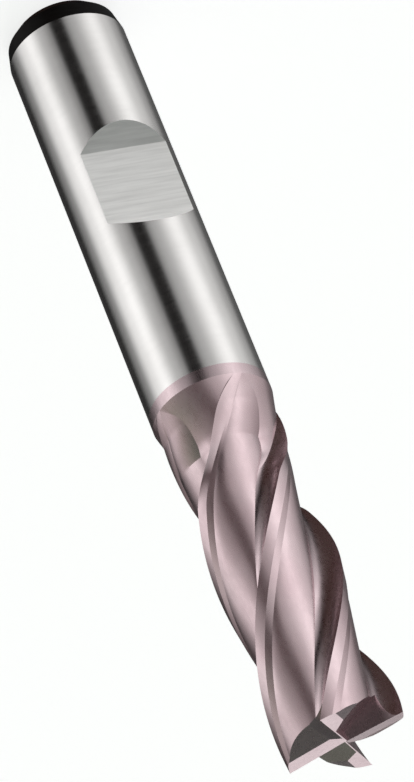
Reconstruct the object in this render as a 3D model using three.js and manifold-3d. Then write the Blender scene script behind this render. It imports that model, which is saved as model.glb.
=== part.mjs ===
// A 10 mm square end mill: a round shank with a side-lock flat, and a four-flute, right-hand,
// centre-cutting head. Millimetres, +Z along the axis from the shank's rear face to the cutting end.
import * as THREE from "three";
import { ConvexGeometry } from "three/addons/geometries/ConvexGeometry.js";
import { mergeVertices } from "three/addons/utils/BufferGeometryUtils.js";
import Module from "manifold-3d";

// Driving dimensions
const CUTTER_DIAMETER = 10;
const OVERALL_LENGTH = 72;
const SHANK_LENGTH = 39.05; // bare ground steel, up to where the coated head begins
const NECK_LENGTH = 1.05; // plain ring of the head below the flutes
const FLUTE_RUN_OUT = 10; // the lands widen and the flutes rise to the surface over this length
const FLUTES = 4;
const HELIX_ANGLE = 29.2;
const EDGE_AZIMUTH = -54.3; // of the first tooth's corner at the cutting end

const RADIUS = CUTTER_DIAMETER / 2;
const NECK_TOP = SHANK_LENGTH + NECK_LENGTH;
const PITCH_ANGLE = 360 / FLUTES;
const DEGREE = Math.PI / 180;

// Rear end: a 45 degree chamfer, then a long shallow lead
const REAR_PROFILE = [
  [3.86, 0],
  [4.68, 0.87],
  [RADIUS, 2.44],
];
const SHANK_SEGMENTS = 96;

// Side-lock flat on the -Y side, with 45 degree end walls
const FLAT = { bottom: 15.5, top: 22.7, depth: 1.6, reach: 2 };

// Cross-section of the fluted head, in degrees ahead of a cutting edge and in millimetres
const RAKE_ANGLE = 8;
const CORE_RADIUS = 3.2;
const LAND = { primary: 11, heel: 18, primaryDrop: 0.25, heelDrop: 0.55 };
const BACK_BULGE = 0.45; // of the flute's back over a straight line from core to heel

// Run-out: a sloped facet closes each flute and eases into the core. It is shallower at the foot
// of the rake side, by this share at the neck. The back rises beside it.
const FACET = { angle: 18.5, ease: 0.75, footShare: 0.45, footLength: 8 };
const BACK_RISE = { start: 0.2, length: 6.25 };

// The lead edge falls back by these angles towards the neck, and the lands sink a little there
const RUN_OUT = { widening: 11.2, flare: 11.5, flareLength: 3.2, wideTo: 5.5 };
const RUN_OUT_LAND = { primary: 28.8, heel: 30, primaryDrop: 0.36, heelDrop: 0.42, wideTo: 1 };
const LOWERED = { land: 0.26, to: 6 };
const LAND_DEPTHS = { lowered: 0.7, grown: 1.5 }; // of the flute where a land has fully sunk or stepped
const APEX_GAP = 0.35; // what is left of the land where it starts, in degrees

// Grinding of the cutting end
const DISH_ANGLE = 1.5;
const END_RELIEF = { width: 1.2, primary: 8, secondary: 25 };
const GASH_RAKE = 8;
const LONG_GASH = { from: 0.1, depth: 1.08, outward: 25.5, ahead: 24.1 };
const SHORT_GASH = { from: 0, depth: -0.09, outward: 32.1, ahead: 23.1 };

const ROWS = { rake: 6, floor: 6, back: 7 };
const LAYERS = 46;

const wasm = await Module();
wasm.setup();

function clamp01(x) {
  return Math.min(1, Math.max(0, x));
}

function smooth(x) {
  const t = clamp01(x);
  return t * t * (3 - 2 * t);
}

function mix(a, b, t) {
  return a + (b - a) * t;
}

// Three.js geometry to a manifold-3d solid and back.
function toSolid(geometry) {
  const bare = new THREE.BufferGeometry();
  const source = geometry.index ? geometry.toNonIndexed() : geometry;
  bare.setAttribute("position", source.getAttribute("position"));
  const merged = mergeVertices(bare, 1e-4);
  return new wasm.Manifold(
    new wasm.Mesh({
      numProp: 3,
      vertProperties: merged.attributes.position.array,
      triVerts: new Uint32Array(merged.index.array),
    }),
  );
}

function toGeometry(solid) {
  const mesh = solid.getMesh();
  const geometry = new THREE.BufferGeometry();
  geometry.setAttribute("position", new THREE.BufferAttribute(mesh.vertProperties, 3));
  geometry.setIndex(new THREE.BufferAttribute(mesh.triVerts, 1));
  return geometry;
}

// --- Shank ---

function shankGeometry() {
  const outline = [[0, 0], ...REAR_PROFILE, [RADIUS, SHANK_LENGTH], [0, SHANK_LENGTH]];
  const turned = new THREE.LatheGeometry(
    outline.map(([r, z]) => new THREE.Vector2(r, z)),
    SHANK_SEGMENTS,
  );
  turned.rotateX(Math.PI / 2);
  return turned;
}

function flatCutterGeometry() {
  const { bottom, top, depth, reach } = FLAT;
  const floor = depth - RADIUS;
  const side = floor - depth - reach;
  const wall = depth + reach;
  const corners = [
    [floor, bottom],
    [floor, top],
    [side, top + wall],
    [side, bottom - wall],
  ];
  const points = corners.flatMap(([y, z]) => [
    new THREE.Vector3(-RADIUS - 1, y, z),
    new THREE.Vector3(RADIUS + 1, y, z),
  ]);
  return new ConvexGeometry(points);
}

function makeShank() {
  return toGeometry(toSolid(shankGeometry()).subtract(toSolid(flatCutterGeometry())));
}

// --- Fluted head ---

// The flute's rake side is an arc that leaves the cutting edge at the rake angle and touches the core.
const rakeSine = Math.sin(RAKE_ANGLE * DEGREE);
const rakeArc = {
  radius: (RADIUS ** 2 - CORE_RADIUS ** 2) / (2 * (CORE_RADIUS + RADIUS * rakeSine)),
};
rakeArc.x = RADIUS - rakeArc.radius * rakeSine;
rakeArc.y = rakeArc.radius * Math.cos(RAKE_ANGLE * DEGREE);
rakeArc.reach = Math.hypot(rakeArc.x, rakeArc.y);
const CORE_ANGLE = Math.atan2(rakeArc.y, rakeArc.x) / DEGREE;
const HEEL_ANGLE = PITCH_ANGLE - LAND.heel;
const CORE_DEPTH = RADIUS - CORE_RADIUS;

// How far round the arc a depth is reached.
function arcTurn(depth) {
  const { radius, reach } = rakeArc;
  const cosine = ((RADIUS - depth) ** 2 - reach ** 2 - radius ** 2) / (2 * radius * reach);
  return CORE_ANGLE * DEGREE - Math.acos(Math.max(-1, Math.min(1, cosine)));
}

// A point of the rake side, a share t of the way from one depth to another.
function rakePoint(t, start, end, widening) {
  const turn = mix(arcTurn(start), arcTurn(end), t);
  const x = rakeArc.x + rakeArc.radius * Math.cos(turn);
  const y = rakeArc.y + rakeArc.radius * Math.sin(turn);
  const apart = t * (1 - end / CORE_DEPTH);
  return [Math.atan2(y, x) / DEGREE - widening + apart, Math.hypot(x, y)];
}

// Depth of the flute's back: a share of a bulged line from the core, bent to meet the land's heel.
function backDepth(angle, core, heel, share, heelDrop) {
  const t = clamp01((angle - core) / (heel - core));
  const turn = mix(CORE_ANGLE, HEEL_ANGLE, t) * DEGREE;
  const from = [Math.cos(CORE_ANGLE * DEGREE) * CORE_RADIUS, Math.sin(CORE_ANGLE * DEGREE) * CORE_RADIUS];
  const heelRadius = RADIUS - LAND.heelDrop;
  const to = [Math.cos(HEEL_ANGLE * DEGREE) * heelRadius, Math.sin(HEEL_ANGLE * DEGREE) * heelRadius];
  const run = [to[0] - from[0], to[1] - from[1]];
  const along =
    (from[0] * Math.sin(turn) - from[1] * Math.cos(turn)) /
    (run[1] * Math.cos(turn) - run[0] * Math.sin(turn));
  const line = Math.hypot(from[0] + run[0] * along, from[1] + run[1] * along);
  const settled = RADIUS - line - 4 * BACK_BULGE * along * (1 - along);
  return share * settled + (heelDrop - share * LAND.heelDrop) * t ** 3;
}

// Depth of the sloped facet that closes a flute, which eases into the core.
function facetDepth(distance) {
  const share = (Math.max(0, distance) * Math.tan(FACET.angle * DEGREE)) / CORE_DEPTH;
  if (share < FACET.ease) return CORE_DEPTH * share;
  const left = 1 - Math.min(1, (share - FACET.ease) / (2 * (1 - FACET.ease)));
  return CORE_DEPTH * (1 - (1 - FACET.ease) * left ** 2);
}

// How much of its depth the flute's back has reached.
function backShare(distance) {
  return Math.min(1, BACK_RISE.start + distance / BACK_RISE.length);
}

// The angle where the facet or the core gives way to the flute's back.
function creaseAngle(depth, core, heel, share, heelDrop) {
  let low = core + APEX_GAP;
  let high = heel - 2 * APEX_GAP;
  for (let step = 0; step < 40; step++) {
    const middle = (low + high) / 2;
    if (backDepth(middle, core, heel, share, heelDrop) > depth) low = middle;
    else high = middle;
  }
  return (low + high) / 2;
}

// Where a land's corners are at a distance above the neck: angles from the settled edge.
function landAngles(distance, settled) {
  const flare = Math.max(0, 1 - distance / RUN_OUT.flareLength) ** 2;
  const widening = RUN_OUT.widening * (1 - settled) + RUN_OUT.flare * flare;
  const thinned = smooth((distance - RUN_OUT_LAND.wideTo) / (FLUTE_RUN_OUT - RUN_OUT_LAND.wideTo));
  const narrow = Math.max(widening + APEX_GAP, mix(RUN_OUT_LAND.primary, LAND.primary, thinned));
  const heelBack = Math.max(narrow + APEX_GAP, mix(RUN_OUT_LAND.heel, LAND.heel, thinned));
  return { widening, narrow, heel: PITCH_ANGLE - heelBack };
}

// How far a land's corners are under the surface, beside a flute of this depth.
function landDepths(distance, settled, depth) {
  const grown = Math.min(1, depth / LAND_DEPTHS.grown);
  const sunk = 1 - smooth((distance - LOWERED.to) / (FLUTE_RUN_OUT - LOWERED.to));
  const lead = LOWERED.land * sunk * Math.min(1, depth / LAND_DEPTHS.lowered);
  const primary = lead + mix(RUN_OUT_LAND.primaryDrop, LAND.primaryDrop, settled) * grown;
  const heel = lead + mix(RUN_OUT_LAND.heelDrop, LAND.heelDrop, settled) * grown;
  return { lead, primary, heel: Math.min(depth, heel) };
}

// One flute and the land ahead of it at a distance above the neck: points with an angle ahead of
// the cutting edge and a radius.
function pitchSection(distance) {
  const depth = facetDepth(distance);
  const share = backShare(distance);
  const settled = smooth((distance - RUN_OUT.wideTo) / (FLUTE_RUN_OUT - RUN_OUT.wideTo));
  const { widening, narrow, heel } = landAngles(distance, settled);
  const drops = landDepths(distance, settled, depth);
  const core = CORE_ANGLE - widening;
  const crease = creaseAngle(depth, core, heel, share, drops.heel);
  const foot = depth * mix(FACET.footShare, 1, clamp01(distance / FACET.footLength));
  const points = [];
  for (let i = 0; i <= ROWS.rake; i++) {
    points.push(rakePoint(i / ROWS.rake, drops.lead, foot, widening));
  }
  const footAngle = points[ROWS.rake][0];
  for (let i = 1; i <= ROWS.floor; i++) {
    const t = i / ROWS.floor;
    points.push([mix(footAngle, crease, t), RADIUS - mix(foot, depth, t)]);
  }
  for (let i = 1; i <= ROWS.back; i++) {
    const angle = mix(crease, heel, i / ROWS.back);
    points.push([angle, RADIUS - Math.min(backDepth(angle, core, heel, share, drops.heel), depth)]);
  }
  points.push([PITCH_ANGLE - narrow, RADIUS - drops.primary]);
  return points;
}

function headLayers() {
  const length = OVERALL_LENGTH - NECK_TOP;
  const heights = [SHANK_LENGTH];
  for (let i = 0; i <= LAYERS; i++) {
    heights.push(NECK_TOP + length * (i / LAYERS) ** 1.15);
  }
  return heights;
}

function headPoint(height, pitch, [angle, radius]) {
  const twist = (Math.tan(HELIX_ANGLE * DEGREE) / RADIUS) * (height - OVERALL_LENGTH);
  const turn = (EDGE_AZIMUTH + PITCH_ANGLE * pitch + angle) * DEGREE + twist;
  return [radius * Math.cos(turn), radius * Math.sin(turn), height];
}

function flutedBlankGeometry() {
  const heights = headLayers();
  const around = pitchSection(0).length * FLUTES;
  const positions = [];
  for (const height of heights) {
    const distance = Math.max(0, height - NECK_TOP);
    const section = pitchSection(distance);
    for (let pitch = 0; pitch < FLUTES; pitch++) {
      for (const point of section) {
        positions.push(...headPoint(distance ? height : NECK_TOP, pitch, point).slice(0, 2), height);
      }
    }
  }
  const faces = [];
  for (let layer = 0; layer + 1 < heights.length; layer++) {
    for (let i = 0; i < around; i++) {
      const a = layer * around + i;
      const b = layer * around + ((i + 1) % around);
      faces.push(a, b, b + around, a, b + around, a + around);
    }
  }
  const last = (heights.length - 1) * around;
  const centres = positions.length / 3;
  positions.push(0, 0, SHANK_LENGTH, 0, 0, OVERALL_LENGTH);
  for (let i = 0; i < around; i++) {
    const next = (i + 1) % around;
    faces.push(centres, next, i);
    faces.push(centres + 1, last + i, last + next);
  }
  const geometry = new THREE.BufferGeometry();
  geometry.setAttribute("position", new THREE.Float32BufferAttribute(positions, 3));
  geometry.setIndex(faces);
  return geometry;
}

// --- Cutting end ---
// Each cut is a convex block in a tooth's own frame: x out along its end edge, y ahead of it, z up.

function toothBlock(corners, tooth) {
  const block = new ConvexGeometry(corners.map((corner) => new THREE.Vector3(...corner)));
  block.rotateZ((EDGE_AZIMUTH + PITCH_ANGLE * tooth) * DEGREE);
  return toSolid(block);
}

// Everything above the relief plane that starts `behind` the end edge.
function reliefBlock(tooth, behind, drop, slope) {
  const reach = RADIUS + 2;
  const above = OVERALL_LENGTH + 2;
  const surface = (x, y) =>
    OVERALL_LENGTH -
    drop -
    (RADIUS - x) * Math.tan(DISH_ANGLE * DEGREE) +
    (y + behind) * Math.tan(slope * DEGREE);
  const corners = [];
  for (const x of [0, reach]) {
    for (const y of [0, -reach]) {
      corners.push([x, y, surface(x, y)], [x, y, above]);
    }
  }
  return toothBlock(corners, tooth);
}

// The notch ahead of an end edge: a steep wall under the edge and a floor that falls outwards.
function gashBlock(tooth, gash) {
  const reach = RADIUS + 2;
  const above = OVERALL_LENGTH + 2;
  const outward = Math.tan(gash.outward * DEGREE);
  const ahead = Math.tan(gash.ahead * DEGREE);
  const rake = Math.tan(GASH_RAKE * DEGREE);
  const corners = [];
  for (const x of [gash.from, reach]) {
    const start = OVERALL_LENGTH - gash.depth - x * outward;
    const back = (start - OVERALL_LENGTH) * rake;
    corners.push([x, back, start], [x, (above - OVERALL_LENGTH) * rake, above]);
    corners.push([x, back + (above - start) / ahead, above]);
  }
  return toothBlock(corners, tooth);
}

function makeCuttingHead() {
  let head = toSolid(flutedBlankGeometry());
  const { width, primary, secondary } = END_RELIEF;
  for (let tooth = 0; tooth < FLUTES; tooth++) {
    const gash = tooth % 2 ? LONG_GASH : SHORT_GASH;
    head = head.subtract(reliefBlock(tooth, 0, 0, primary));
    head = head.subtract(reliefBlock(tooth, width, width * Math.tan(primary * DEGREE), secondary));
    head = head.subtract(gashBlock(tooth, gash));
  }
  return toGeometry(head);
}

// --- The tool ---

function namedMesh(name, geometry, color, metalness, roughness) {
  const material = new THREE.MeshStandardMaterial({ color, metalness, roughness });
  const mesh = new THREE.Mesh(geometry, material);
  mesh.name = name;
  return mesh;
}

const endMill = new THREE.Group();
endMill.add(namedMesh("shank", makeShank(), 0xcfccc8, 1, 0.22));
endMill.add(namedMesh("cutting_head", makeCuttingHead(), 0xb99aa2, 1, 0.28));

export default endMill;
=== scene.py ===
"""A 10 mm end mill standing on a pale floor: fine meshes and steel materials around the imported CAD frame."""

import math

import bmesh
import bpy
import numpy as np
from mathutils import Matrix, Vector


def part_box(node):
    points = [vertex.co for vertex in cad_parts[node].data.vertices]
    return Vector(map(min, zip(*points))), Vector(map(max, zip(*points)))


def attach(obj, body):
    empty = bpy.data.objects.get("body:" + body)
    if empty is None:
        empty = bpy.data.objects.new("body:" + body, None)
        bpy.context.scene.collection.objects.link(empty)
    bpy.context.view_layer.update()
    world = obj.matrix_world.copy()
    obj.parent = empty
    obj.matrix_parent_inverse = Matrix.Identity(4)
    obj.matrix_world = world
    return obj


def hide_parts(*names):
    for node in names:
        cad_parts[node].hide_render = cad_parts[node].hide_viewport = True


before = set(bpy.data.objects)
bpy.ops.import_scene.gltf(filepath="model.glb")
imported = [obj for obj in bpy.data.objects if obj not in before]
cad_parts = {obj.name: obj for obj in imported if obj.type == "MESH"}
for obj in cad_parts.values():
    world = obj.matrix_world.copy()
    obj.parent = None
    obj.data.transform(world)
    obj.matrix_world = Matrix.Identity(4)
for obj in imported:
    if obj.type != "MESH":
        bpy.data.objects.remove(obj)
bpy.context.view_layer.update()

# --- Sizes, in metres, from the frame and the record's own dimensions ---

MM = 0.001
SHANK_LOW, SHANK_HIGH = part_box("shank")
COAT_LINE = SHANK_HIGH[2]
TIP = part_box("cutting_head")[1][2]
RADIUS = (SHANK_HIGH[0] - SHANK_LOW[0]) / 2

FLUTES = 4
PITCH_ANGLE = 360 / FLUTES
HELIX_ANGLE = 29.2
EDGE_AZIMUTH = -54.3
NECK_TOP = COAT_LINE + 1.05 * MM

CHAMFER_RADIUS = 3.86 * MM
LEAD_RADIUS, LEAD_START = 4.68 * MM, 0.87 * MM
LEAD_END = 2.44 * MM
FLAT_BOTTOM, FLAT_TOP = 15.5 * MM, 22.7 * MM
FLAT_DEPTH = 1.6 * MM

# The settled section of a flute and its land
RAKE_ANGLE = 8
CORE_RADIUS = 3.2 * MM
PRIMARY_LAND, HEEL_BACK = 11, 18
PRIMARY_DROP, HEEL_DROP = 0.25 * MM, 0.55 * MM
BACK_BULGE = 0.45 * MM

# The run-out: a sloped facet closes the flute, the back rises beside it and the lands widen and sink
FLUTE_RUN_OUT = 10 * MM
FACET_ANGLE, FACET_EASE = 18.5, 0.75
BACK_START, BACK_LENGTH = 0.2, 6.25 * MM
FOOT_SHARE, FOOT_LENGTH = 0.45, 8 * MM
WIDENING, FLARE, FLARE_LENGTH, WIDE_TO = 11.2, 11.5, 3.2 * MM, 5.5 * MM
RUN_OUT_PRIMARY, RUN_OUT_HEEL, LAND_WIDE_TO = 28.8, 30.0, 1 * MM
LOWERED_LAND, LOWERED_TO = 0.26 * MM, 6 * MM
RUN_OUT_PRIMARY_DROP, RUN_OUT_HEEL_DROP = 0.36 * MM, 0.42 * MM
LAND_LOWERED_AT, LAND_GROWN_AT = 0.7 * MM, 1.5 * MM  # depths of the flute beside it
APEX_GAP = 0.35

# The ground cutting end
DISH_ANGLE = 1.5
END_RELIEF_WIDTH, END_PRIMARY, END_SECONDARY = 1.2 * MM, 8, 25
GASH_RAKE = 8
LONG_GASH = {"start": 0.1 * MM, "depth": 1.08 * MM, "outward": 25.5, "ahead": 24.1}
SHORT_GASH = {"start": 0.0, "depth": -0.09 * MM, "outward": 32.1, "ahead": 23.1}

SHANK_SIDES = 384
RAKE_ROWS, FLOOR_ROWS, BACK_ROWS, LAND_ROWS = 24, 26, 26, 5
LAYER_STEP = 0.16 * MM
CREASE = 7  # degrees between faces that meet in a ground edge


# --- The fluted head's section: angles ahead of a cutting edge, and depths under the surface ---


def smooth(x):
    t = np.clip(x, 0.0, 1.0)
    return t * t * (3 - 2 * t)


def mix(a, b, t):
    return a + (b - a) * t


ARC_RADIUS = (RADIUS**2 - CORE_RADIUS**2) / (2 * (CORE_RADIUS + RADIUS * math.sin(math.radians(RAKE_ANGLE))))
ARC_X = RADIUS - ARC_RADIUS * math.sin(math.radians(RAKE_ANGLE))
ARC_Y = ARC_RADIUS * math.cos(math.radians(RAKE_ANGLE))
ARC_REACH = math.hypot(ARC_X, ARC_Y)
CORE_ANGLE = math.degrees(math.atan2(ARC_Y, ARC_X))


def arc_turn(depth):
    """How far round it the rake side's arc is at a depth: it leaves the edge and touches the core."""
    radius = RADIUS - depth
    cosine = (radius**2 - ARC_REACH**2 - ARC_RADIUS**2) / (2 * ARC_RADIUS * ARC_REACH)
    return math.radians(CORE_ANGLE) - math.acos(max(-1.0, min(1.0, cosine)))


def rake_rows(start, end, widening):
    """The rake side between two depths."""
    turns = np.linspace(arc_turn(start), arc_turn(end), RAKE_ROWS + 1)
    x, y = ARC_X + ARC_RADIUS * np.cos(turns), ARC_Y + ARC_RADIUS * np.sin(turns)
    apart = np.linspace(0, 1, RAKE_ROWS + 1) * (1 - end / (RADIUS - CORE_RADIUS))
    return np.column_stack([np.degrees(np.arctan2(y, x)) - widening + apart, np.hypot(x, y)])


def back_depth(angle, core, heel, share, heel_drop):
    """Depth of the flute's back: a share of a bulged line from the core, bent to meet the land's heel."""
    t = np.clip((angle - core) / (heel - core), 0, 1)
    first, last = math.radians(CORE_ANGLE), math.radians(PITCH_ANGLE - HEEL_BACK)
    turn = mix(first, last, t)
    start = np.array([math.cos(first), math.sin(first)]) * CORE_RADIUS
    end = np.array([math.cos(last), math.sin(last)]) * (RADIUS - HEEL_DROP)
    run = end - start
    across = run[1] * np.cos(turn) - run[0] * np.sin(turn)
    along = (start[0] * np.sin(turn) - start[1] * np.cos(turn)) / across
    line = np.hypot(start[0] + run[0] * along, start[1] + run[1] * along)
    settled = RADIUS - line - 4 * BACK_BULGE * along * (1 - along)
    return share * settled + (heel_drop - share * HEEL_DROP) * t**3


def facet_depth(distance):
    """Depth of the sloped facet that ends a flute, which eases into the core."""
    core = RADIUS - CORE_RADIUS
    share = max(0.0, distance) * math.tan(math.radians(FACET_ANGLE)) / core
    if share < FACET_EASE:
        return core * share
    left = 1 - min(1.0, (share - FACET_EASE) / (2 * (1 - FACET_EASE)))
    return core * (1 - (1 - FACET_EASE) * left**2)


def back_share(distance):
    """How much of its depth the flute's back has reached."""
    return min(1.0, BACK_START + distance / BACK_LENGTH)


def crease_angle(depth, core, heel, share, heel_drop):
    """Where the facet or the core gives way to the flute's back."""
    low, high = core + APEX_GAP, heel - 2 * APEX_GAP
    for _ in range(40):
        middle = (low + high) / 2
        if back_depth(middle, core, heel, share, heel_drop) > depth:
            low = middle
        else:
            high = middle
    return (low + high) / 2


def span_rows(start, end, start_depth, end_depth, count):
    """Even rows from just after one angle and depth to another."""
    t = np.linspace(0, 1, count + 1)[1:]
    return np.column_stack([mix(start, end, t), RADIUS - mix(start_depth, end_depth, t)])


def land_angles(distance, settled):
    """How far behind the settled edge a land's lead, primary corner and heel are, in degrees."""
    widening = WIDENING * (1 - settled) + FLARE * max(0.0, 1 - distance / FLARE_LENGTH) ** 2
    thinned = smooth((distance - LAND_WIDE_TO) / (FLUTE_RUN_OUT - LAND_WIDE_TO))
    narrow = max(widening + APEX_GAP, mix(RUN_OUT_PRIMARY, PRIMARY_LAND, thinned))
    heel_back = max(narrow + APEX_GAP, mix(RUN_OUT_HEEL, HEEL_BACK, thinned))
    return widening, narrow, heel_back


def land_drops(distance, settled, depth):
    """How far under the surface a land's lead, primary corner and heel are, beside a flute of this depth."""
    grown = min(1.0, depth / LAND_GROWN_AT)
    lowered = LOWERED_LAND * (1 - smooth((distance - LOWERED_TO) / (FLUTE_RUN_OUT - LOWERED_TO)))
    lowered *= min(1.0, depth / LAND_LOWERED_AT)
    primary_drop = lowered + mix(RUN_OUT_PRIMARY_DROP, PRIMARY_DROP, settled) * grown
    heel_drop = min(depth, lowered + mix(RUN_OUT_HEEL_DROP, HEEL_DROP, settled) * grown)
    return lowered, primary_drop, heel_drop


def pitch_section(distance):
    """One flute and the land ahead of it, at a distance above the neck: rows of angle and radius."""
    depth, share = facet_depth(distance), back_share(distance)
    settled = smooth((distance - WIDE_TO) / (FLUTE_RUN_OUT - WIDE_TO))
    widening, narrow, heel_back = land_angles(distance, settled)
    lowered, primary_drop, heel_drop = land_drops(distance, settled, depth)
    core, heel = CORE_ANGLE - widening, PITCH_ANGLE - heel_back
    foot = depth * mix(FOOT_SHARE, 1, min(1.0, distance / FOOT_LENGTH))
    crease = crease_angle(depth, core, heel, share, heel_drop)

    rake = rake_rows(lowered, foot, widening)
    floor = span_rows(rake[-1, 0], crease, foot, depth, FLOOR_ROWS)
    angles = np.linspace(crease, heel, BACK_ROWS + 1)[1:]
    depths = np.minimum(back_depth(angles, core, heel, share, heel_drop), depth)
    back = np.column_stack([angles, RADIUS - depths])
    second = span_rows(heel, PITCH_ANGLE - narrow, heel_drop, primary_drop, LAND_ROWS)
    first = span_rows(PITCH_ANGLE - narrow, PITCH_ANGLE - widening, primary_drop, lowered, LAND_ROWS)[:-1]
    return np.vstack([rake, floor, back, second, first])


def head_heights():
    count = math.ceil((TIP - NECK_TOP) / LAYER_STEP)
    run_out = NECK_TOP + (TIP - NECK_TOP) * np.linspace(0, 1, count + 1) ** 1.06
    return np.concatenate([[COAT_LINE, (COAT_LINE + NECK_TOP) / 2], run_out])


def fluted_blank():
    """The head before its end is ground, as one closed mesh."""
    heights = head_heights()
    rings = []
    for height in heights:
        section = pitch_section(max(0.0, height - NECK_TOP))
        twist = math.tan(math.radians(HELIX_ANGLE)) / RADIUS * (max(height, NECK_TOP) - TIP)
        for pitch in range(FLUTES):
            turn = np.radians(EDGE_AZIMUTH + PITCH_ANGLE * pitch + section[:, 0]) + twist
            x, y = section[:, 1] * np.cos(turn), section[:, 1] * np.sin(turn)
            rings.append(np.column_stack([x, y, np.full(len(section), height)]))
    around = len(rings[0]) * FLUTES
    verts = np.vstack(rings).tolist()
    faces = []
    for layer in range(len(heights) - 1):
        for i in range(around):
            a, b = layer * around + i, layer * around + (i + 1) % around
            faces.append((a, b, b + around, a + around))
    centre = len(verts)
    last = (len(heights) - 1) * around
    verts += [[0, 0, COAT_LINE], [0, 0, TIP]]
    for i in range(around):
        nxt = (i + 1) % around
        faces.append((centre, nxt, i))
        faces.append((centre + 1, last + i, last + nxt))
    return verts, faces


# --- Cutting blocks ---


def add_object(name, data):
    made = bpy.data.objects.new(name, data)
    bpy.context.scene.collection.objects.link(made)
    return made


def mesh_object(name, verts, faces):
    mesh = bpy.data.meshes.new(name)
    mesh.from_pydata(verts, [], faces)
    mesh.update()
    return add_object(name, mesh)


def convex_block(name, corners, turn=0.0):
    """A convex block around its corners, turned about the tool's axis."""
    form = bmesh.new()
    for corner in corners:
        form.verts.new(corner)
    hull = bmesh.ops.convex_hull(form, input=form.verts)
    inner = [v for v in hull["geom_interior"] if isinstance(v, bmesh.types.BMVert)]
    bmesh.ops.delete(form, geom=inner, context="VERTS")
    about_axis = Matrix.Rotation(math.radians(turn), 3, "Z")
    bmesh.ops.rotate(form, verts=form.verts, matrix=about_axis, cent=(0, 0, 0))
    bmesh.ops.recalc_face_normals(form, faces=form.faces)
    mesh = bpy.data.meshes.new(name)
    form.to_mesh(mesh)
    form.free()
    return add_object(name, mesh)


def relief_block(tooth, behind, drop, slope):
    """Everything above the relief plane that starts some way behind a tooth's end edge."""
    reach, above = RADIUS + 2 * MM, TIP + 2 * MM
    corners = []
    for x in (0, reach):
        for y in (0, -reach):
            dish = (RADIUS - x) * math.tan(math.radians(DISH_ANGLE))
            low = TIP - drop - dish + (y + behind) * math.tan(math.radians(slope))
            corners += [(x, y, low), (x, y, above)]
    return convex_block(f"relief_{tooth}", corners, EDGE_AZIMUTH + PITCH_ANGLE * tooth)


def gash_block(tooth, gash):
    """The notch ahead of an end edge: a steep wall under the edge and a floor that falls outwards."""
    above = TIP + 2 * MM
    outward, ahead = math.tan(math.radians(gash["outward"])), math.tan(math.radians(gash["ahead"]))
    rake = math.tan(math.radians(GASH_RAKE))
    corners = []
    for x in (gash["start"], RADIUS + 2 * MM):
        start = TIP - gash["depth"] - x * outward
        back = (start - TIP) * rake
        corners += [(x, back, start), (x, (above - TIP) * rake, above)]
        corners += [(x, back + (above - start) / ahead, above)]
    return convex_block(f"gash_{tooth}", corners, EDGE_AZIMUTH + PITCH_ANGLE * tooth)


def cut(target, block):
    step = target.modifiers.new("cut", "BOOLEAN")
    step.operation = "DIFFERENCE"
    step.solver = "MANIFOLD"
    step.object = block


def apply_cuts(target, blocks):
    """Bake the cuts into the mesh and remove the blocks."""
    bpy.context.view_layer.update()
    graph = bpy.context.evaluated_depsgraph_get()
    done = bpy.data.meshes.new_from_object(target.evaluated_get(graph))
    target.modifiers.clear()
    old = target.data
    target.data = done
    bpy.data.meshes.remove(old)
    for block in blocks:
        bpy.data.objects.remove(block)


def ground_edges(target):
    """Smooth faces that meet in crisp edges."""
    target.data.shade_smooth()
    target.data.set_sharp_from_angle(angle=math.radians(CREASE))


def build_head():
    head = mesh_object("coated_cutting_head", *fluted_blank())
    second_drop = END_RELIEF_WIDTH * math.tan(math.radians(END_PRIMARY))
    blocks = []
    for tooth in range(FLUTES):
        gash = LONG_GASH if tooth % 2 else SHORT_GASH
        blocks.append(relief_block(tooth, 0.0, 0.0, END_PRIMARY))
        blocks.append(relief_block(tooth, END_RELIEF_WIDTH, second_drop, END_SECONDARY))
        blocks.append(gash_block(tooth, gash))
    for block in blocks:
        cut(head, block)
    apply_cuts(head, blocks)
    ground_edges(head)
    return head


# --- Shank ---


def shank_blank():
    profile = [
        (CHAMFER_RADIUS, 0.0),
        (LEAD_RADIUS, LEAD_START),
        (RADIUS, LEAD_END),
        (RADIUS, COAT_LINE),
    ]
    turns = np.linspace(0, 2 * math.pi, SHANK_SIDES, endpoint=False)
    verts, faces = [], []
    for radius, height in profile:
        for turn in turns:
            verts.append((radius * math.cos(turn), radius * math.sin(turn), height))
    for ring in range(len(profile) - 1):
        for i in range(SHANK_SIDES):
            a, b = ring * SHANK_SIDES + i, ring * SHANK_SIDES + (i + 1) % SHANK_SIDES
            faces.append((a, b, b + SHANK_SIDES, a + SHANK_SIDES))
    faces.append(tuple(reversed(range(SHANK_SIDES))))
    top = (len(profile) - 1) * SHANK_SIDES
    faces.append(tuple(range(top, top + SHANK_SIDES)))
    return verts, faces


def flat_block():
    """The side-lock flat's cut, with 45 degree end walls."""
    floor, reach = FLAT_DEPTH - RADIUS, FLAT_DEPTH + 2 * MM
    corners = []
    for x in (-RADIUS - MM, RADIUS + MM):
        corners += [(x, floor, FLAT_BOTTOM), (x, floor, FLAT_TOP)]
        corners += [(x, floor - reach, FLAT_TOP + reach), (x, floor - reach, FLAT_BOTTOM - reach)]
    return convex_block("flat_cut", corners)


def build_shank():
    shank = mesh_object("ground_shank", *shank_blank())
    block = flat_block()
    cut(shank, block)
    apply_cuts(shank, [block])
    ground_edges(shank)
    return shank


# --- Materials ---


def new_material(name):
    made = bpy.data.materials.new(name)
    made.use_nodes = True
    return made, made.node_tree.nodes, made.node_tree.links


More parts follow.
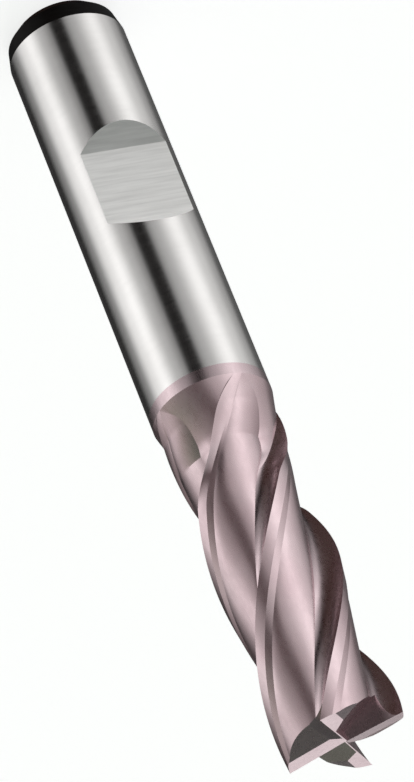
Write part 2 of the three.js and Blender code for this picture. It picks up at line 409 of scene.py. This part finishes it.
def scaled_noise(nodes, links, scale, detail, roughness):
    """Noise stretched by a scale per axis, in metres."""
    place = nodes.new("ShaderNodeTexCoord")
    stretch = nodes.new("ShaderNodeMapping")
    stretch.inputs["Scale"].default_value = scale
    noise = nodes.new("ShaderNodeTexNoise")
    noise.inputs["Scale"].default_value = 1.0
    noise.inputs["Detail"].default_value = detail
    noise.inputs["Roughness"].default_value = roughness
    links.new(place.outputs["Object"], stretch.inputs["Vector"])
    links.new(stretch.outputs["Vector"], noise.inputs["Vector"])
    return noise.outputs["Fac"]


def ramp(nodes, links, source, low, high, start=0.3, end=0.7):
    """A value or colour that runs from low to high."""
    made = nodes.new("ShaderNodeValToRGB")
    made.color_ramp.elements[0].position = start
    made.color_ramp.elements[1].position = end
    made.color_ramp.elements[0].color = low
    made.color_ramp.elements[1].color = high
    links.new(source, made.inputs["Fac"])
    return made.outputs["Color"]


def grey(value):
    return (value, value, value, 1)


def metal(name, tint, roughness, grain, bump, tone=(260, 260, 190)):
    """Ground metal: tone that drifts, and grinding lines in its roughness and surface.

    Tint and roughness run from a low to a high value. Grain and tone are noise scales. Bump is a
    height and a strength.
    """
    made, nodes, links = new_material(name)
    shader = nodes["Principled BSDF"]
    shader.inputs["Metallic"].default_value = 1.0
    lines = scaled_noise(nodes, links, grain, 4.0, 0.6)
    broad = scaled_noise(nodes, links, tone, 3.0, 0.55)
    links.new(ramp(nodes, links, broad, *tint), shader.inputs["Base Color"])
    links.new(ramp(nodes, links, lines, *map(grey, roughness)), shader.inputs["Roughness"])
    relief = nodes.new("ShaderNodeBump")
    relief.inputs["Distance"].default_value, relief.inputs["Strength"].default_value = bump
    links.new(lines, relief.inputs["Height"])
    links.new(relief.outputs["Normal"], shader.inputs["Normal"])
    return made


def shank_steel():
    return metal(
        "ground_steel",
        tint=((0.80, 0.785, 0.77, 1), (0.86, 0.845, 0.83, 1)),
        roughness=(0.16, 0.24),
        grain=(500, 500, 16000),
        bump=(0.004 * MM, 0.25),
    )


def flat_steel():
    """Milled steel that scatters most of its light."""
    made = metal(
        "milled_flat_steel",
        tint=((0.84, 0.825, 0.815, 1), (1.0, 0.985, 0.975, 1)),
        roughness=(0.42, 0.58),
        grain=(300, 300, 5200),
        bump=(0.03 * MM, 0.8),
        tone=(220, 220, 4200),
    )
    made.node_tree.nodes["Principled BSDF"].inputs["Metallic"].default_value = 0.25
    return made


def painted_dark_steel():
    # Near-black base colour: painted dark reflection for the rear face, chamfer and lead
    return metal(
        "painted_dark_reflection_steel",
        tint=((0.020, 0.021, 0.022, 1), (0.045, 0.047, 0.046, 1)),
        roughness=(0.34, 0.5),
        grain=(900, 900, 6000),
        bump=(0.01 * MM, 0.4),
    )


def coated_steel():
    return metal(
        "mauve_coated_steel",
        tint=((0.72, 0.565, 0.595, 1), (0.80, 0.655, 0.68, 1)),
        roughness=(0.24, 0.32),
        grain=(2600, 2600, 1100),
        bump=(0.003 * MM, 0.12),
    )


def give_faces(target, index, chosen):
    for face in target.data.polygons:
        if chosen(face):
            face.material_index = index


def dress_shank(shank):
    """Bare steel, with the flat and its end walls milled, and near-black steel as painted dark reflection on
    the rear face, chamfer and lead.
    """
    shank.data.materials.clear()
    for made in (shank_steel(), flat_steel(), painted_dark_steel()):
        shank.data.materials.append(made)
    floor, small = FLAT_DEPTH - RADIUS, 0.01 * MM
    give_faces(shank, 0, lambda face: True)
    give_faces(shank, 1, lambda face: abs(face.center.y - floor) < small and face.normal.y < -0.9)
    inside = (LEAD_END, COAT_LINE - small)
    give_faces(shank, 1, lambda face: abs(face.normal.z) > 0.5 and inside[0] < face.center.z < inside[1])
    # Painted dark reflection: the rear face, chamfer and lead get the near-black steel
    give_faces(shank, 2, lambda face: face.center.z < LEAD_END - small)


def dress_head(head):
    head.data.materials.clear()
    head.data.materials.append(coated_steel())


# --- Stage, light and camera ---

CAMERA_AZIMUTH = -68.5  # of the camera's side of the tool
CAMERA_TILT = 32.23
CAMERA_ROLL = 21.99
REAR_CENTRE = (-12.218 * MM, -29.775 * MM, 461.99 * MM)  # from the camera: right, down, ahead
LENS_RATIO = 7.137  # focal length over the frame's long side
SENSOR = 36.0
FLOOR_RADIUS, FLOOR_GLOW = 3.0, 0.8
BACKDROP_RADIUS = 1.3


def camera_axes():
    """The camera's right, down and forward directions in the frame, from the tool's own directions."""
    tilt, roll, azimuth = (math.radians(a) for a in (CAMERA_TILT, CAMERA_ROLL, CAMERA_AZIMUTH))
    axis = (math.cos(tilt) * math.sin(roll), math.cos(tilt) * math.cos(roll), -math.sin(tilt))
    near = (-math.sin(tilt) * math.sin(roll), -math.sin(tilt) * math.cos(roll), -math.cos(tilt))
    side = Vector(axis).cross(Vector(near))
    up_row = Vector((0, 0, 1))
    near_row = Vector((math.cos(azimuth), math.sin(azimuth), 0))
    side_row = up_row.cross(near_row)
    rows = []
    for i in range(3):
        rows.append(axis[i] * up_row + near[i] * near_row + side[i] * side_row)
    return rows


def add_camera():
    right, down, ahead = camera_axes()
    place = -(REAR_CENTRE[0] * right + REAR_CENTRE[1] * down + REAR_CENTRE[2] * ahead)
    data = bpy.data.cameras.new("camera")
    data.sensor_width = SENSOR
    data.sensor_fit = "AUTO"
    data.lens = SENSOR * LENS_RATIO
    data.clip_start = 0.01
    data.clip_end = 20
    camera = add_object("camera", data)
    turn = Matrix((right, -down, -ahead)).transposed()
    camera.matrix_world = Matrix.Translation(place) @ turn.to_4x4()
    bpy.context.scene.camera = camera


def add_floor():
    """A plain pale floor that the steel doesn't reflect."""
    bpy.ops.mesh.primitive_circle_add(vertices=128, radius=FLOOR_RADIUS, fill_type="NGON")
    floor = bpy.context.object
    floor.name = "floor"
    made, nodes, _ = new_material("pale_floor")
    shader = nodes["Principled BSDF"]
    shader.inputs["Base Color"].default_value = (0.9, 0.9, 0.9, 1)
    shader.inputs["Roughness"].default_value = 0.9
    shader.inputs["Emission Color"].default_value = (1, 1, 1, 1)
    shader.inputs["Emission Strength"].default_value = FLOOR_GLOW
    floor.data.materials.append(made)
    floor.visible_glossy = False


# Brightness around the tool, by angle from the camera's side: soft panels with darkness between and behind.
PANELS = (
    (-180, 0.10),
    (-142, 0.10),
    (-122, 0.40),
    (-96, 0.72),
    (-68, 1.22),
    (-28, 0.50),
    (-17, 0.34),
    (-11, 0.008),
    (11, 0.008),
    (17, 0.32),
    (34, 0.56),
    (64, 1.30),
    (84, 1.0),
    (112, 0.26),
    (136, 0.02),
    (180, 0.06),
)
# How much of it is left by elevation, on the side behind zero and on the side ahead of it.
HEIGHTS_BEHIND = (
    (-90, 0.02),
    (-47, 0.03),
    (-39, 0.9),
    (-30, 1.0),
    (-17, 1.05),
    (-9, 0.7),
    (2, 0.85),
    (14, 0.5),
    (30, 0.12),
    (90, 0.04),
)
HEIGHTS_AHEAD = (
    (-90, 0.02),
    (-47, 0.03),
    (-39, 0.9),
    (-30, 1.0),
    (-20, 1.0),
    (-11, 0.45),
    (-5, (0.10, 0.10, 0.08)),
    (8, (0.2, 0.24, 0.17)),
    (90, 0.04),
)
SKEW, SKEW_FROM = 0.45, -28  # the panels lean, in degrees sideways for each degree up
# A pale sheet hung behind the tool: brightness by the angle away from its middle.
SHEET_AZIMUTH, SHEET_ELEVATION = 180, 36
SHEET = ((0, 0.95), (19, 0.9), (25, 0.0), (180, 0.0))
# Faint light on the dark parts of the room, by elevation.
FILL = (
    (-90, (0.05, 0.03, 0.025)),
    (-54, (0.05, 0.03, 0.025)),
    (-44, 0.0),
    (-28, 0.0),
    (-12, (0.14, 0.11, 0.11)),
    (-3, (0.15, 0.12, 0.12)),
    (4, (0.06, 0.075, 0.07)),
    (90, (0.05, 0.06, 0.055)),
)


def maths(nodes, links, operation, *inputs):
    """A maths node over numbers and other nodes' values."""
    made = nodes.new("ShaderNodeMath")
    made.operation = operation
    for i, value in enumerate(inputs):
        if isinstance(value, (int, float)):
            made.inputs[i].default_value = value
        else:
            links.new(value, made.inputs[i])
    return made.outputs[0]


def vector_maths(nodes, links, operation, first, second):
    made = nodes.new("ShaderNodeVectorMath")
    made.operation = operation
    links.new(first, made.inputs[0])
    links.new(second, made.inputs[1])
    return made.outputs["Vector"]


def by_angle(nodes, links, degrees, low, high, stops):
    """A brightness that follows an angle through a list of stops."""
    span = nodes.new("ShaderNodeMapRange")
    span.inputs["From Min"].default_value = low
    span.inputs["From Max"].default_value = high
    links.new(degrees, span.inputs["Value"])
    made = nodes.new("ShaderNodeValToRGB")
    made.color_ramp.interpolation = "EASE"
    elements = made.color_ramp.elements
    while len(elements) < len(stops):
        elements.new(0.5)
    for element, (angle, value) in zip(elements, stops):
        element.position = (angle - low) / (high - low)
        element.color = (*value, 1) if isinstance(value, tuple) else grey(value)
    links.new(span.outputs["Result"], made.inputs["Fac"])
    return made.outputs["Color"]


def panel_light(nodes, links, azimuth, elevation):
    """The soft panels: brightness around the tool times what is left of it by elevation."""
    above = maths(nodes, links, "MAXIMUM", maths(nodes, links, "SUBTRACT", elevation, SKEW_FROM), 0.0)
    leaning = maths(nodes, links, "SUBTRACT", azimuth, maths(nodes, links, "MULTIPLY", above, SKEW))
    upward = nodes.new("ShaderNodeMix")
    upward.data_type = "RGBA"
    links.new(maths(nodes, links, "GREATER_THAN", leaning, 0.0), upward.inputs["Factor"])
    links.new(by_angle(nodes, links, elevation, -90, 90, HEIGHTS_BEHIND), upward.inputs["A"])
    links.new(by_angle(nodes, links, elevation, -90, 90, HEIGHTS_AHEAD), upward.inputs["B"])
    around = by_angle(nodes, links, leaning, -180, 180, PANELS)
    return vector_maths(nodes, links, "MULTIPLY", around, upward.outputs["Result"])


def sheet_light(nodes, links, direction):
    """The pale sheet behind the tool: brightness by the angle away from its middle."""
    azimuth, elevation = math.radians(SHEET_AZIMUTH), math.radians(SHEET_ELEVATION)
    flat = math.cos(elevation)
    nearness = nodes.new("ShaderNodeVectorMath")
    nearness.operation = "DOT_PRODUCT"
    middle = (math.cos(azimuth) * flat, math.sin(azimuth) * flat, math.sin(elevation))
    nearness.inputs[1].default_value = middle
    links.new(direction, nearness.inputs[0])
    away = maths(nodes, links, "ARCCOSINE", nearness.outputs["Value"])
    away = maths(nodes, links, "MULTIPLY", away, math.degrees(1))
    return by_angle(nodes, links, away, 0, 180, SHEET)


def add_world():
    """A dark studio: tall soft panels on both sides of the camera, and a pale sheet behind the tool."""
    world = bpy.data.worlds.new("studio")
    bpy.context.scene.world = world
    world.use_nodes = True
    nodes, links = world.node_tree.nodes, world.node_tree.links
    sky = nodes.new("ShaderNodeTexCoord")
    turn = nodes.new("ShaderNodeVectorRotate")
    turn.rotation_type = "Z_AXIS"
    turn.inputs["Angle"].default_value = math.radians(-CAMERA_AZIMUTH)
    links.new(sky.outputs["Generated"], turn.inputs["Vector"])
    direction = turn.outputs["Vector"]
    split = nodes.new("ShaderNodeSeparateXYZ")
    links.new(direction, split.inputs["Vector"])
    azimuth = maths(nodes, links, "ARCTAN2", split.outputs["Y"], split.outputs["X"])
    azimuth = maths(nodes, links, "MULTIPLY", azimuth, math.degrees(1))
    elevation = maths(nodes, links, "ARCSINE", split.outputs["Z"])
    elevation = maths(nodes, links, "MULTIPLY", elevation, math.degrees(1))

    panels = panel_light(nodes, links, azimuth, elevation)
    light = vector_maths(nodes, links, "MAXIMUM", panels, sheet_light(nodes, links, direction))
    light = vector_maths(nodes, links, "ADD", light, by_angle(nodes, links, elevation, -90, 90, FILL))
    links.new(light, nodes["Background"].inputs["Color"])


def add_backdrop():
    """A white dome that only the camera sees."""
    bpy.ops.mesh.primitive_uv_sphere_add(segments=48, ring_count=24, radius=BACKDROP_RADIUS)
    dome = bpy.context.object
    dome.name = "backdrop"
    made, nodes, _ = new_material("white_backdrop")
    shader = nodes["Principled BSDF"]
    shader.inputs["Base Color"].default_value = (0, 0, 0, 1)
    shader.inputs["Specular IOR Level"].default_value = 0.0
    shader.inputs["Emission Color"].default_value = (1, 1, 1, 1)
    shader.inputs["Emission Strength"].default_value = 1.0
    dome.data.materials.append(made)
    dome.visible_diffuse = False
    dome.visible_glossy = False
    dome.visible_transmission = False
    dome.visible_shadow = False


shank = build_shank()
head = build_head()
dress_shank(shank)
dress_head(head)

for piece, node, finish in ((shank, "shank", "ground_steel"), (head, "cutting_head", "coated_steel")):
    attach(piece, "root")
    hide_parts(node)

add_floor()
add_world()
add_backdrop()
add_camera()
bpy.context.scene.view_settings.view_transform = "Standard"
